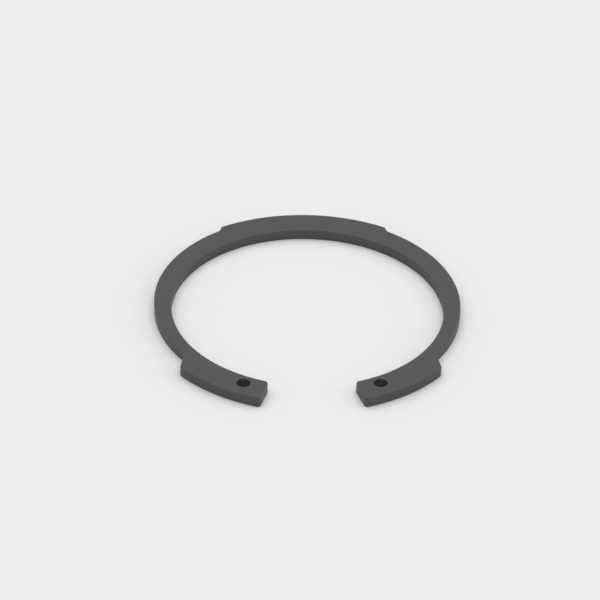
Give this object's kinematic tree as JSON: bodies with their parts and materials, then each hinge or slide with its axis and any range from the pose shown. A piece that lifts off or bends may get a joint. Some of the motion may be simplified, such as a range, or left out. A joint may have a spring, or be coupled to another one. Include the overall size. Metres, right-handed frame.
{
  "type": "internal retaining ring",
  "caption": "Flat open spring ring with raised outer lands, tapered arms and a plier hole beside each side of its gap, snapping into the groove of a bore to hold what sits behind it.",
  "frame": {"origin": "centre of the round inner edge, on the underside of the ring", "axes": "+Z along the ring's axis, up through its thickness; +Y towards the back of the ring; -Y towards the gap between the lugs; +X to the right"},
  "size_m": [0.0468, 0.0492, 0.0018],
  "materials": {
    "phosphated_spring_steel": "phosphated and oiled spring steel, matte dark grey with a fine even grain, edges rolled and tumbled"
  },
  "bodies": {
    "root": {"retaining_ring": "phosphated_spring_steel"}
  },
  "joints": []
}
